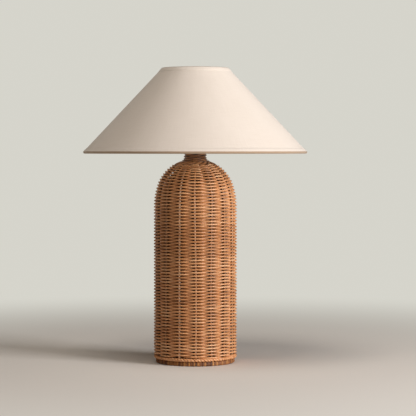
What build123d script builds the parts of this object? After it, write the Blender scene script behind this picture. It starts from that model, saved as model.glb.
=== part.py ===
"""Table lamp: a woven rattan column on a weighted base, with a wide conical linen shade.

Units are millimetres. Z is up, the origin is the middle of the lamp's footprint on the table,
and the front of the lamp faces -Y.
"""

import os
from math import asin, atan2, cos, degrees, pi, radians, sin, sqrt

from build123d import *

os.makedirs("parts", exist_ok=True)

# ---------------------------------------------------------------- driving dimensions

# Clearances
seat_gap = 0.3  # between bodies that turn or slide on each other
skin_gap = 0.05  # between glued or wrapped layers of one body
thread_gap = 0.1  # radial, between a screwed piece and its thread

# Rattan: round core reed woven over upright stakes
reed_dia = 3.0
stake_dia = 4.0
stake_count = 16
stake_circle_r = 78.4  # radius of the circle the straight stakes stand on
front_stake_angle = -90.0  # one stake faces the front

# Line that every stake follows: up the wall, over the shoulder and crown, then up the neck
wall_height = 297.0
shoulder_arc_r = 136.0
shoulder_arc_angle = 18.0
crown_end_angle = 72.0  # of the crown's outward normal, where the neck's fillet starts
collar_start_angle = 52.8  # the plaited collar covers the crown from here to its end
neck_line_r = 18.0
neck_fillet_r = 11.2
neck_length = 19.85

# Foot and border under the woven wall
foot_inset = 4.2  # from the face of the weave in to the face of the foot
foot_width = 9.2
foot_height = 9.0
foot_round = 2.5
border_height = 7.5
border_thickness = 9.0
border_round = 3.6

# Weighted base inside the foot
felt_thickness = 2.0
felt_inset = 4.0  # from the board's edge
board_thickness = 12.0
ballast_leg_gap = 3.5  # between the plate's edge and the frame's legs
ballast_thickness = 8.0
ballast_screw_circle_r = 44.0
ballast_screw_count = 4
ballast_screw_r = 2.0
ballast_screw_length = 17.0
ballast_screw_head_r = 4.2
ballast_screw_head_height = 2.4

# Threaded centre tube and its nuts
tube_outer_r = 5.0
tube_wall = 1.0
nut_across_flats = 14.0
nut_thickness = 4.0
washer_r = 9.0
washer_thickness = 1.5
nut_pocket_depth = 7.0

# Welded wire frame inside the weave
frame_wire_r = 2.5
frame_inset = 12.4  # from the stakes' line in to the frame's line
frame_leg_count = 4
frame_plate_r = 28.0
frame_plate_thickness = 3.0
frame_leg_end_angle = 70.0
sleeve_thickness = 0.8  # of the dark card sleeve glued round the frame's legs
sleeve_end_angle = 63.0

# Neck
plug_gap = 0.4  # radial, inside the woven neck
cap_overhang = 2.0  # beyond the woven neck
cap_thickness = 3.0

# Cable bush in the back wall, half way between two stakes
bush_angle = 90.0 + 180.0 / stake_count
bush_lift = 9.5  # above the foot of the woven wall
bush_bore_r = 3.25
bush_body_r = 4.9
bush_flange_r = 7.0
bush_flange_thickness = 1.5

# Lampholder with a push-through switch bar
holder_cap_height = 14.0
holder_cap_boss_r = 8.0
holder_cap_boss_height = 4.0
holder_wall = 1.3
holder_shell_r = 19.4
holder_shell_height = 47.0
shoulder_height = 18.0  # from the foot of the holder's shell to the underside of its flange
flange_width = 4.6
flange_thickness = 2.0
screw_shell_inner_r = 13.6
screw_shell_gap = 0.4  # radial, in the insert's bore
screw_shell_wall = 0.5
screw_shell_height = 24.0
screw_shell_lift = 3.0  # above the insert's floor
contact_r = 4.0
contact_thickness = 1.2
contact_pip_r = 2.0
contact_pip_height = 1.3
terminal_offset = 9.0
terminal_screw_r = 1.5
terminal_screw_length = 5.0
terminal_head_r = 2.6
terminal_head_height = 2.0
switch_bar_r = 2.4
switch_bar_end = 2.6  # what stays proud of the shell on the side that is pushed in
switch_bar_height = 9.0  # above the foot of the holder's shell
switch_travel = 4.0
switch_bar_clearance = 0.2

# Shade retaining ring with its friction washer
retainer_height = 7.6
retainer_wall = 4.7
retainer_inner_gap = 0.4
retainer_rib_count = 36
retainer_rib_r = 0.7
friction_washer_thickness = 0.8
friction_washer_width = 3.7

# Bulb
bulb_tip_r = 3.0
bulb_tip_height = 1.5
bulb_insulator_height = 3.7
bulb_insulator_step = 2.3  # from the cap's side in to the insulator's top edge
bulb_cap_height = 22.0
bulb_cap_wall = 0.6
bulb_globe_r = 30.0
bulb_globe_height = 71.0  # of the globe's centre above the bulb's tip
bulb_glass = 1.0

# Shade
shade_drop = 12.0  # of its bottom edge below the top of the neck
shade_height = 172.0
shade_bottom_r = 225.0
shade_top_r = 68.0
shade_wire_r = 1.5
lining_thickness = 0.8
linen_thickness = 0.8
hem_thickness = 0.6
hem_width = 9.0
arm_wire_r = 1.5
arm_count = 3
arm_first_angle = 90.0
arm_foot_inset = 2.2  # from the fitter ring's edge
arm_foot_height = 8.0
arm_bend_r = 6.0
fitter_lip = 6.0  # beyond the retaining ring
fitter_thickness = 2.0
fitter_hole_gap = 1.2  # radial, round the holder's thread

# ---------------------------------------------------------------- worked-out sizes and places

weave_reach = stake_dia / 2 + reed_dia  # how far the weave stands out from the stakes' line
skin_inner = stake_dia / 2 + thread_gap
wall_outer_r = stake_circle_r + weave_reach

foot_outer_r = wall_outer_r - foot_inset
foot_inner_r = foot_outer_r - foot_width
board_r = foot_inner_r - thread_gap
felt_r = board_r - felt_inset
border_z = foot_height
wall_z = border_z + border_height
shoulder_z = wall_z + wall_height
board_z = felt_thickness
ballast_z = board_z + board_thickness
ballast_top_z = ballast_z + ballast_thickness
nut_pocket_z = board_z + nut_pocket_depth
lower_nut_z = nut_pocket_z - washer_thickness - nut_thickness
ballast_nut_z = ballast_top_z + washer_thickness
bush_z = wall_z + bush_lift

shoulder_centre_r = stake_circle_r - shoulder_arc_r
crown_arc_r = (
    stake_circle_r
    - neck_line_r
    - shoulder_arc_r * (1 - cos(radians(shoulder_arc_angle)))
    - neck_fillet_r * (1 - cos(radians(crown_end_angle)))
) / (cos(radians(shoulder_arc_angle)) - cos(radians(crown_end_angle)))
crown_centre_r = shoulder_centre_r + (shoulder_arc_r - crown_arc_r) * cos(radians(shoulder_arc_angle))
crown_centre_z = shoulder_z + (shoulder_arc_r - crown_arc_r) * sin(radians(shoulder_arc_angle))
neck_fillet_centre_r = neck_line_r + neck_fillet_r
neck_fillet_centre_z = crown_centre_z + (crown_arc_r + neck_fillet_r) * sin(radians(crown_end_angle))
neck_top_z = neck_fillet_centre_z + neck_length

frame_r = stake_circle_r - frame_inset
ballast_r = frame_r - frame_wire_r - ballast_leg_gap
frame_leg_end_z = crown_centre_z + (crown_arc_r - frame_inset) * sin(radians(frame_leg_end_angle))
frame_plate_z = frame_leg_end_z + frame_wire_r * 0.6
sleeve_inner = frame_wire_r + skin_gap - frame_inset  # set out from the stakes' line
sleeve_outer = sleeve_inner + sleeve_thickness
plug_z = frame_plate_z + frame_plate_thickness
plug_r = neck_line_r - weave_reach - plug_gap
cap_r = neck_line_r + weave_reach + cap_overhang

holder_cap_z = neck_top_z + cap_thickness
shell_z = holder_cap_z + holder_cap_height
tube_top_z = holder_cap_z + holder_cap_boss_height + nut_thickness
shell_inner_r = holder_shell_r - holder_wall
insert_r = shell_inner_r - thread_gap
screw_shell_outer_r = screw_shell_inner_r + screw_shell_wall
insert_bore_r = screw_shell_outer_r + screw_shell_gap
flange_r = holder_shell_r + flange_width
flange_z = shell_z + shoulder_height
insert_floor_z = flange_z
shell_top_z = shell_z + holder_shell_height
switch_z = shell_z + switch_bar_height
switch_bar_length = 2 * (holder_shell_r + switch_bar_end) + switch_travel

retainer_inner_r = holder_shell_r + retainer_inner_gap
retainer_outer_r = retainer_inner_r + retainer_wall
fitter_outer_r = retainer_outer_r + fitter_lip
fitter_z = flange_z + flange_thickness + seat_gap
fitter_top_z = fitter_z + fitter_thickness
friction_washer_z = fitter_top_z + seat_gap
retainer_z = friction_washer_z + friction_washer_thickness + skin_gap

contact_top_z = insert_floor_z + contact_thickness + contact_pip_height
bulb_z = contact_top_z + seat_gap
bulb_cap_z = bulb_z + bulb_tip_height + bulb_insulator_height
bulb_cap_top_z = bulb_cap_z + bulb_cap_height
bulb_cap_r = screw_shell_inner_r - seat_gap
bulb_neck_r = bulb_cap_r - bulb_cap_wall - thread_gap
bulb_globe_z = bulb_z + bulb_globe_height

# Shade: the line through the middles of its two wire rings, and layers set off from that line
shade_bottom_z = neck_top_z - shade_drop
lining_inner = shade_wire_r + skin_gap
lining_outer = lining_inner + lining_thickness
linen_inner = lining_outer + skin_gap
linen_outer = linen_inner + linen_thickness
hem_outer_face = linen_outer + skin_gap  # the hem's inside surface, over the linen
hem_inner_face = -(shade_wire_r + skin_gap)  # the same inside the shade, behind the wire
hem_fold_r = (hem_outer_face - hem_inner_face) / 2
hem_fold_offset = (hem_outer_face + hem_inner_face) / 2
hem_outer_r = hem_fold_r + hem_thickness


def shade_line_ends():
    """Middles of the bottom and top wire rings, so that the folded hems reach the shade's sizes."""
    slope = atan2(shade_bottom_r - shade_top_r, shade_height)
    for _ in range(20):
        out = (cos(slope), sin(slope))
        bottom = (
            shade_bottom_r - hem_fold_offset * out[0] - hem_outer_r,
            shade_bottom_z - hem_fold_offset * out[1] + hem_outer_r,
        )
        top = (
            shade_top_r - hem_fold_offset * out[0] - hem_outer_r * out[0],
            shade_bottom_z + shade_height - hem_fold_offset * out[1] - hem_outer_r,
        )
        slope = atan2(bottom[0] - top[0], top[1] - bottom[1])
    return bottom, top, slope


(ring_low_r, ring_low_z), (ring_high_r, ring_high_z), shade_slope = shade_line_ends()
shade_line_length = sqrt((ring_low_r - ring_high_r) ** 2 + (ring_high_z - ring_low_z) ** 2)


def on_shade(along, offset):
    """Point of the shade's section: along its line from the bottom ring, and out from that line."""
    return (
        ring_low_r - along * sin(shade_slope) + offset * cos(shade_slope),
        ring_low_z + along * cos(shade_slope) + offset * sin(shade_slope),
    )


def on_shoulder(offset, angle):
    """Point of the column's section on its shoulder arc, set out from the stakes' line."""
    r = shoulder_arc_r + offset
    return (shoulder_centre_r + r * cos(radians(angle)), shoulder_z + r * sin(radians(angle)))


def on_crown(offset, angle):
    """Point of the column's section on its crown arc, set out from the stakes' line."""
    r = crown_arc_r + offset
    return (crown_centre_r + r * cos(radians(angle)), crown_centre_z + r * sin(radians(angle)))


# ---------------------------------------------------------------- weighted base

with BuildPart() as felt_pad:
    Cylinder(felt_r, felt_thickness, align=(Align.CENTER, Align.CENTER, Align.MIN))
    fillet(felt_pad.edges().group_by(Axis.Z)[0], felt_thickness / 8)
felt_pad.part.label = "felt_pad"
export_step(felt_pad.part, "parts/felt_pad.step")

with BuildPart() as base_board:
    with BuildSketch(Plane.XY.offset(board_z)):
        Circle(board_r)
    extrude(amount=board_thickness)
    with Locations(Plane.XY.offset(board_z + board_thickness)):
        Hole(tube_outer_r + thread_gap)
        with PolarLocations(ballast_screw_circle_r, ballast_screw_count, start_angle=45):
            Hole(ballast_screw_r + thread_gap, depth=ballast_screw_length - ballast_thickness + 1)
    with BuildSketch(Plane.XY.offset(board_z)):
        Circle(washer_r + 2 * thread_gap)
    extrude(amount=nut_pocket_depth, mode=Mode.SUBTRACT)
base_board.part.label = "base_board"
export_step(base_board.part, "parts/base_board.step")

with BuildPart() as ballast_plate:
    with BuildSketch(Plane.XY.offset(ballast_z)):
        Circle(ballast_r)
    extrude(amount=ballast_thickness)
    chamfer(ballast_plate.edges().group_by(Axis.Z)[-1], ballast_thickness / 8)
    with Locations(Plane.XY.offset(ballast_top_z)):
        Hole(tube_outer_r + thread_gap)
        with PolarLocations(ballast_screw_circle_r, ballast_screw_count, start_angle=45):
            CounterSinkHole(ballast_screw_r + thread_gap, ballast_screw_head_r + thread_gap)
ballast_plate.part.label = "ballast_plate"
export_step(ballast_plate.part, "parts/ballast_plate.step")

with BuildPart() as ballast_screws:
    with PolarLocations(ballast_screw_circle_r, ballast_screw_count, start_angle=45):
        with Locations((0, 0, ballast_top_z)):
            Cylinder(
                ballast_screw_r,
                ballast_screw_length,
                align=(Align.CENTER, Align.CENTER, Align.MAX),
            )
            Cone(
                ballast_screw_r,
                ballast_screw_head_r,
                ballast_screw_head_height,
                align=(Align.CENTER, Align.CENTER, Align.MAX),
            )
            Box(
                ballast_screw_head_r * 1.2,
                ballast_screw_r * 0.4,
                ballast_screw_head_height * 0.8,
                align=(Align.CENTER, Align.CENTER, Align.MAX),
                mode=Mode.SUBTRACT,
            )
ballast_screws.part.label = "ballast_screws"
export_step(ballast_screws.part, "parts/ballast_screws.step")

# ---------------------------------------------------------------- centre tube, nuts and washers

with BuildPart() as centre_tube:
    with BuildSketch(Plane.XY.offset(lower_nut_z)):
        Circle(tube_outer_r)
        Circle(tube_outer_r - tube_wall, mode=Mode.SUBTRACT)
    extrude(amount=tube_top_z - lower_nut_z)
centre_tube.part.label = "centre_tube"
export_step(centre_tube.part, "parts/centre_tube.step")

for nut_name, nut_z in (
    ("lower_nut", lower_nut_z),
    ("ballast_nut", ballast_nut_z),
    ("frame_nut", frame_plate_z - nut_thickness),
):
    with BuildPart() as tube_nut:
        with BuildSketch(Plane.XY.offset(nut_z)):
            RegularPolygon(nut_across_flats / 2, 6, major_radius=False)
            Circle(tube_outer_r + thread_gap / 2, mode=Mode.SUBTRACT)
        extrude(amount=nut_thickness)
        chamfer(tube_nut.edges().filter_by(GeomType.CIRCLE), tube_wall / 3)
    tube_nut.part.label = nut_name
    export_step(tube_nut.part, f"parts/{nut_name}.step")

for washer_name, washer_z in (
    ("lower_washer", nut_pocket_z - washer_thickness),
    ("ballast_washer", ballast_top_z),
):
    with BuildPart() as tube_washer:
        with BuildSketch(Plane.XY.offset(washer_z)):
            Circle(washer_r)
            Circle(tube_outer_r + 2 * thread_gap, mode=Mode.SUBTRACT)
        extrude(amount=washer_thickness)
    tube_washer.part.label = washer_name
    export_step(tube_washer.part, f"parts/{washer_name}.step")

# ---------------------------------------------------------------- wire frame inside the weave

with BuildPart() as frame_top_plate:
    with BuildSketch(Plane.XY.offset(frame_plate_z)):
        Circle(frame_plate_r)
        Circle(tube_outer_r + 2 * thread_gap, mode=Mode.SUBTRACT)
    extrude(amount=frame_plate_thickness)
frame_top_plate.part.label = "frame_top_plate"
export_step(frame_top_plate.part, "parts/frame_top_plate.step")

with BuildPart() as frame_leg:
    with BuildLine(Plane.XZ) as frame_leg_path:
        Line((frame_r, ballast_z), (frame_r, shoulder_z))
        CenterArc(
            (shoulder_centre_r, shoulder_z), shoulder_arc_r - frame_inset, 0, shoulder_arc_angle
        )
        CenterArc(
            (crown_centre_r, crown_centre_z),
            crown_arc_r - frame_inset,
            shoulder_arc_angle,
            frame_leg_end_angle - shoulder_arc_angle,
        )
    with BuildSketch(Plane((frame_r, 0, ballast_z))):
        Circle(frame_wire_r)
    sweep(path=frame_leg_path.wire())

with BuildPart() as frame_hoop:
    with BuildSketch(Plane.XZ):
        with Locations((frame_r - 2 * frame_wire_r, shoulder_z)):
            Circle(frame_wire_r)
    revolve(axis=Axis.Z)
frame_hoop.part.label = "frame_hoop"
export_step(frame_hoop.part, "parts/frame_hoop.step")

with BuildPart() as frame_legs:
    with PolarLocations(0, frame_leg_count, start_angle=45):
        add(frame_leg.part)
    add(frame_top_plate.part, mode=Mode.SUBTRACT)
frame_legs.part.label = "frame_legs"
export_step(frame_legs.part, "parts/frame_legs.step")

bush_direction = (cos(radians(bush_angle)), sin(radians(bush_angle)), 0)
bush_plane = Plane(origin=(0, 0, bush_z), z_dir=bush_direction)

with BuildPart() as inner_sleeve:
    with BuildSketch(Plane.XZ):
        with BuildLine():
            Polyline(
                on_shoulder(sleeve_inner, 0),
                (stake_circle_r + sleeve_inner, ballast_z + skin_gap),
                (stake_circle_r + sleeve_outer, ballast_z + skin_gap),
                on_shoulder(sleeve_outer, 0),
            )
            CenterArc(
                (shoulder_centre_r, shoulder_z),
                shoulder_arc_r + sleeve_outer,
                0,
                shoulder_arc_angle,
            )
            CenterArc(
                (crown_centre_r, crown_centre_z),
                crown_arc_r + sleeve_outer,
                shoulder_arc_angle,
                sleeve_end_angle - shoulder_arc_angle,
            )
            Line(on_crown(sleeve_outer, sleeve_end_angle), on_crown(sleeve_inner, sleeve_end_angle))
            CenterArc(
                (crown_centre_r, crown_centre_z),
                crown_arc_r + sleeve_inner,
                sleeve_end_angle,
                shoulder_arc_angle - sleeve_end_angle,
            )
            CenterArc(
                (shoulder_centre_r, shoulder_z),
                shoulder_arc_r + sleeve_inner,
                shoulder_arc_angle,
                -shoulder_arc_angle,
            )
        make_face()
    revolve(axis=Axis.Z)
    with BuildSketch(bush_plane):
        Circle(bush_body_r + thread_gap)
    extrude(amount=wall_outer_r, mode=Mode.SUBTRACT)
inner_sleeve.part.label = "inner_sleeve"
export_step(inner_sleeve.part, "parts/inner_sleeve.step")

# ---------------------------------------------------------------- foot and border

with BuildPart() as foot_ring:
    with BuildSketch(Plane.XZ):
        with Locations(((foot_inner_r + foot_outer_r) / 2, foot_height / 2)):
            RectangleRounded(foot_outer_r - foot_inner_r, foot_height, foot_round)
    revolve(axis=Axis.Z)
foot_ring.part.label = "foot_ring"
export_step(foot_ring.part, "parts/foot_ring.step")

with BuildPart() as bottom_border:
    with BuildSketch(Plane.XZ):
        with Locations((wall_outer_r - border_thickness / 2, border_z + border_height / 2)):
            RectangleRounded(border_thickness, border_height, border_round)
    revolve(axis=Axis.Z)
bottom_border.part.label = "bottom_border"
export_step(bottom_border.part, "parts/bottom_border.step")

# ---------------------------------------------------------------- woven column

with BuildPart() as stake:
    with BuildLine(Plane.XZ) as stake_path:
        Line((stake_circle_r, wall_z), (stake_circle_r, shoulder_z))
        CenterArc((shoulder_centre_r, shoulder_z), shoulder_arc_r, 0, shoulder_arc_angle)
        CenterArc(
            (crown_centre_r, crown_centre_z),
            crown_arc_r,
            shoulder_arc_angle,
            crown_end_angle - shoulder_arc_angle,
        )
        CenterArc(
            (neck_fillet_centre_r, neck_fillet_centre_z),
            neck_fillet_r,
            180 + crown_end_angle,
            -crown_end_angle,
        )
        Line((neck_line_r, neck_fillet_centre_z), (neck_line_r, neck_top_z))
    with BuildSketch(Plane((stake_circle_r, 0, wall_z))):
        Circle(stake_dia / 2)
    sweep(path=stake_path.wire())

with BuildPart() as stakes:
    with PolarLocations(0, stake_count, start_angle=front_stake_angle):
        add(stake.part)
stakes.part.label = "stakes"
export_step(stakes.part, "parts/stakes.step")

with BuildPart() as wall_weave:
    with BuildSketch(Plane.XY.offset(wall_z)):
        Circle(wall_outer_r)
        Circle(stake_circle_r + skin_inner, mode=Mode.SUBTRACT)
    extrude(amount=shoulder_z - wall_z)
    with BuildSketch(bush_plane):
        Circle(bush_body_r + thread_gap)
    extrude(amount=wall_outer_r + 1, mode=Mode.SUBTRACT)
wall_weave.part.label = "wall_weave"
export_step(wall_weave.part, "parts/wall_weave.step")

with BuildPart() as dome_weave:
    with BuildSketch(Plane.XZ):
        with BuildLine():
            CenterArc(
                (shoulder_centre_r, shoulder_z), shoulder_arc_r + weave_reach, 0, shoulder_arc_angle
            )
            CenterArc(
                (crown_centre_r, crown_centre_z),
                crown_arc_r + weave_reach,
                shoulder_arc_angle,
                collar_start_angle - shoulder_arc_angle,
            )
            Line(on_crown(weave_reach, collar_start_angle), on_crown(skin_inner, collar_start_angle))
            CenterArc(
                (crown_centre_r, crown_centre_z),
                crown_arc_r + skin_inner,
                collar_start_angle,
                shoulder_arc_angle - collar_start_angle,
            )
            CenterArc(
                (shoulder_centre_r, shoulder_z),
                shoulder_arc_r + skin_inner,
                shoulder_arc_angle,
                -shoulder_arc_angle,
            )
            Line(on_shoulder(skin_inner, 0), on_shoulder(weave_reach, 0))
        make_face()
    revolve(axis=Axis.Z)
dome_weave.part.label = "dome_weave"
export_step(dome_weave.part, "parts/dome_weave.step")

with BuildPart() as collar_band:
    with BuildSketch(Plane.XZ):
        with BuildLine():
            CenterArc(
                (crown_centre_r, crown_centre_z),
                crown_arc_r + weave_reach,
                collar_start_angle,
                crown_end_angle - collar_start_angle,
            )
            Line(on_crown(weave_reach, crown_end_angle), on_crown(skin_inner, crown_end_angle))
            CenterArc(
                (crown_centre_r, crown_centre_z),
                crown_arc_r + skin_inner,
                crown_end_angle,
                collar_start_angle - crown_end_angle,
            )
            Line(on_crown(skin_inner, collar_start_angle), on_crown(weave_reach, collar_start_angle))
        make_face()
    revolve(axis=Axis.Z)
collar_band.part.label = "collar_band"
export_step(collar_band.part, "parts/collar_band.step")

with BuildPart() as neck_weave:
    with BuildSketch(Plane.XZ):
        with BuildLine():
            CenterArc(
                (neck_fillet_centre_r, neck_fillet_centre_z),
                neck_fillet_r - weave_reach,
                180 + crown_end_angle,
                -crown_end_angle,
            )
            Polyline(
                (neck_line_r + weave_reach, neck_fillet_centre_z),
                (neck_line_r + weave_reach, neck_top_z),
                (neck_line_r + skin_inner, neck_top_z),
                (neck_line_r + skin_inner, neck_fillet_centre_z),
            )
            CenterArc(
                (neck_fillet_centre_r, neck_fillet_centre_z),
                neck_fillet_r - skin_inner,
                180,
                crown_end_angle,
            )
            Line(on_crown(skin_inner, crown_end_angle), on_crown(weave_reach, crown_end_angle))
        make_face()
    revolve(axis=Axis.Z)
neck_weave.part.label = "neck_weave"
export_step(neck_weave.part, "parts/neck_weave.step")

with BuildPart() as neck_plug:
    with BuildSketch(Plane.XY.offset(plug_z)):
        Circle(plug_r)
        Circle(tube_outer_r + 2 * thread_gap, mode=Mode.SUBTRACT)
    extrude(amount=neck_top_z - plug_z)
neck_plug.part.label = "neck_plug"
export_step(neck_plug.part, "parts/neck_plug.step")

with BuildPart() as neck_cap:
    with BuildSketch(Plane.XY.offset(neck_top_z)):
        Circle(cap_r)
    extrude(amount=cap_thickness)
    fillet(neck_cap.edges().group_by(Axis.Z)[-1], cap_thickness / 2)
    with Locations(Plane.XY.offset(holder_cap_z)):
        Hole(tube_outer_r + 2 * thread_gap)
neck_cap.part.label = "neck_cap"
export_step(neck_cap.part, "parts/neck_cap.step")

with BuildPart() as cable_bush:
    wall_face = sqrt((stake_circle_r + skin_inner) ** 2 - bush_flange_r**2)
    flange_in = wall_face - thread_gap - bush_flange_thickness
    flange_out = wall_outer_r + thread_gap
    with BuildSketch(bush_plane.offset(flange_in)):
        Circle(bush_flange_r)
    extrude(amount=bush_flange_thickness)
    with BuildSketch(bush_plane.offset(flange_in)):
        Circle(bush_body_r)
    extrude(amount=flange_out + bush_flange_thickness - flange_in)
    with BuildSketch(bush_plane.offset(flange_out)):
        Circle(bush_flange_r)
    extrude(amount=bush_flange_thickness)
    with BuildSketch(bush_plane.offset(flange_in)):
        Circle(bush_bore_r)
    extrude(amount=flange_out + bush_flange_thickness - flange_in, mode=Mode.SUBTRACT)
cable_bush.part.label = "cable_bush"
export_step(cable_bush.part, "parts/cable_bush.step")

# ---------------------------------------------------------------- lampholder

with BuildPart() as holder_cap:
    with BuildSketch(Plane.XZ):
        with BuildLine():
            Polyline(
                (tube_outer_r + thread_gap / 2, holder_cap_z),
                (holder_cap_boss_r, holder_cap_z),
                (holder_cap_boss_r, holder_cap_z + holder_cap_boss_height),
                (holder_shell_r, shell_z - holder_cap_boss_height / 2),
                (holder_shell_r, shell_z),
                (shell_inner_r, shell_z),
                (shell_inner_r, shell_z - holder_cap_boss_height / 4),
                (holder_cap_boss_r, holder_cap_z + holder_cap_boss_height + holder_wall),
                (tube_outer_r + thread_gap / 2, holder_cap_z + holder_cap_boss_height + holder_wall),
                close=True,
            )
        make_face()
    revolve(axis=Axis.Z)
holder_cap.part.label = "holder_cap"
export_step(holder_cap.part, "parts/holder_cap.step")

with BuildPart() as holder_shell:
    with BuildSketch(Plane.XY.offset(shell_z)):
        Circle(holder_shell_r)
    extrude(amount=holder_shell_height)
    with BuildSketch(Plane.XY.offset(flange_z)):
        Circle(flange_r)
    extrude(amount=flange_thickness)
    with BuildSketch(Plane.XY.offset(shell_z)):
        Circle(shell_inner_r)
    extrude(amount=holder_shell_height, mode=Mode.SUBTRACT)
    with BuildSketch(Plane.YZ.offset(-flange_r)):
        with Locations((0, switch_z)):
            Circle(switch_bar_r + switch_bar_clearance)
    extrude(amount=2 * flange_r, mode=Mode.SUBTRACT)
holder_shell.part.label = "holder_shell"
export_step(holder_shell.part, "parts/holder_shell.step")

with BuildPart() as holder_insert:
    with BuildSketch(Plane.XY.offset(shell_z)):
        Circle(insert_r)
    extrude(amount=holder_shell_height)
    with BuildSketch(Plane.XY.offset(insert_floor_z)):
        Circle(insert_bore_r)
    extrude(amount=shell_top_z - insert_floor_z, mode=Mode.SUBTRACT)
    with BuildSketch(Plane.YZ.offset(-insert_r)):
        with Locations((0, switch_z)):
            Circle(switch_bar_r + switch_bar_clearance)
    extrude(amount=2 * insert_r, mode=Mode.SUBTRACT)
    with BuildSketch(Plane.XY.offset(shell_z)):
        with Locations((0, terminal_offset), (0, -terminal_offset)):
            Circle(terminal_screw_r + thread_gap)
    extrude(amount=terminal_screw_length + thread_gap, mode=Mode.SUBTRACT)
holder_insert.part.label = "holder_insert"
export_step(holder_insert.part, "parts/holder_insert.step")

with BuildPart() as terminal_screws:
    with BuildSketch(Plane.XY.offset(shell_z)):
        with Locations((0, terminal_offset), (0, -terminal_offset)):
            Circle(terminal_screw_r)
    extrude(amount=terminal_screw_length)
    with BuildSketch(Plane.XY.offset(shell_z - terminal_head_height)):
        with Locations((0, terminal_offset), (0, -terminal_offset)):
            Circle(terminal_head_r)
    extrude(amount=terminal_head_height)
    with BuildSketch(Plane.XY.offset(shell_z - terminal_head_height)):
        with Locations((0, terminal_offset), (0, -terminal_offset)):
            Rectangle(terminal_head_r * 2, terminal_head_height / 3)
    extrude(amount=terminal_head_height / 2, mode=Mode.SUBTRACT)
terminal_screws.part.label = "terminal_screws"
export_step(terminal_screws.part, "parts/terminal_screws.step")

with BuildPart() as centre_contact:
    with BuildSketch(Plane.XY.offset(insert_floor_z)):
        Circle(contact_r)
    extrude(amount=contact_thickness)
    with BuildSketch(Plane.XY.offset(insert_floor_z + contact_thickness)):
        Circle(contact_pip_r)
    extrude(amount=contact_pip_height)
centre_contact.part.label = "centre_contact"
export_step(centre_contact.part, "parts/centre_contact.step")

with BuildPart() as screw_shell:
    with BuildSketch(Plane.XY.offset(insert_floor_z + screw_shell_lift)):
        Circle(screw_shell_outer_r)
        Circle(screw_shell_inner_r, mode=Mode.SUBTRACT)
    extrude(amount=screw_shell_height)
    with BuildSketch(Plane.XY.offset(insert_floor_z)):
        Circle(screw_shell_outer_r)
        Circle(screw_shell_inner_r - 2 * screw_shell_wall, mode=Mode.SUBTRACT)
    extrude(amount=screw_shell_lift)
screw_shell.part.label = "screw_shell"
export_step(screw_shell.part, "parts/screw_shell.step")

with BuildPart() as switch_bar:
    with BuildSketch(Plane.YZ.offset(-(switch_bar_length + switch_travel) / 2)):
        with Locations((0, switch_z)):
            Circle(switch_bar_r)
    extrude(amount=switch_bar_length)
    fillet(switch_bar.edges().filter_by(GeomType.CIRCLE), switch_bar_r / 2)
switch_bar.part.label = "switch_bar"
export_step(switch_bar.part, "parts/switch_bar.step")

# ---------------------------------------------------------------- retaining ring

with BuildPart() as friction_washer:
    with BuildSketch(Plane.XY.offset(friction_washer_z)):
        Circle(retainer_inner_r + friction_washer_width)
        Circle(retainer_inner_r, mode=Mode.SUBTRACT)
    extrude(amount=friction_washer_thickness)
friction_washer.part.label = "friction_washer"
export_step(friction_washer.part, "parts/friction_washer.step")

with BuildPart() as retaining_ring:
    with BuildSketch(Plane.XY.offset(retainer_z)):
        Circle(retainer_outer_r - retainer_rib_r)
        with PolarLocations(retainer_outer_r - retainer_rib_r, retainer_rib_count):
            Circle(retainer_rib_r)
        Circle(retainer_inner_r, mode=Mode.SUBTRACT)
    extrude(amount=retainer_height)
retaining_ring.part.label = "retaining_ring"
export_step(retaining_ring.part, "parts/retaining_ring.step")

# ---------------------------------------------------------------- bulb

with BuildPart() as bulb_contact:
    with BuildSketch(Plane.XY.offset(bulb_z)):
        Circle(bulb_tip_r)
    extrude(amount=bulb_tip_height)
    fillet(bulb_contact.edges().group_by(Axis.Z)[0], bulb_tip_height * 0.7)
bulb_contact.part.label = "bulb_contact"
export_step(bulb_contact.part, "parts/bulb_contact.step")

with BuildPart() as bulb_insulator:
    with BuildSketch(Plane.XY.offset(bulb_z + bulb_tip_height)):
        Circle(bulb_tip_r * 1.4)
    with BuildSketch(Plane.XY.offset(bulb_cap_z)):
        Circle(bulb_cap_r - bulb_insulator_step)
    loft()
bulb_insulator.part.label = "bulb_insulator"
export_step(bulb_insulator.part, "parts/bulb_insulator.step")

with BuildPart() as bulb_cap:
    with BuildSketch(Plane.XY.offset(bulb_cap_z)):
        Circle(bulb_cap_r)
    extrude(amount=bulb_cap_height)
    fillet(bulb_cap.edges().group_by(Axis.Z)[0], bulb_cap_wall * 2)
    with BuildSketch(Plane.XY.offset(bulb_cap_z + 3 * bulb_cap_wall)):
        Circle(bulb_cap_r - bulb_cap_wall)
    extrude(amount=bulb_cap_height, mode=Mode.SUBTRACT)
bulb_cap.part.label = "bulb_cap"
export_step(bulb_cap.part, "parts/bulb_cap.step")


def bulb_outline(inset):
    """Half section of the glass: a globe that runs down in a tangent line to its neck."""
    globe_r = bulb_globe_r - inset
    neck_r = bulb_neck_r - inset
    neck_z = bulb_cap_top_z
    drop = bulb_globe_z - neck_z
    lean = atan2(neck_r, drop) + asin(globe_r / sqrt(drop**2 + neck_r**2)) - pi / 2
    touch = (globe_r * cos(lean), bulb_globe_z + globe_r * sin(lean))
    foot_z = bulb_cap_z + 3 * bulb_cap_wall + skin_gap
    CenterArc((0, bulb_globe_z), globe_r, degrees(lean), 90 - degrees(lean))
    Line(touch, (neck_r, neck_z))
    Line((neck_r, neck_z), (neck_r, foot_z))
    Line((neck_r, foot_z), (0, foot_z))
    Line((0, foot_z), (0, bulb_globe_z + globe_r))


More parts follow.
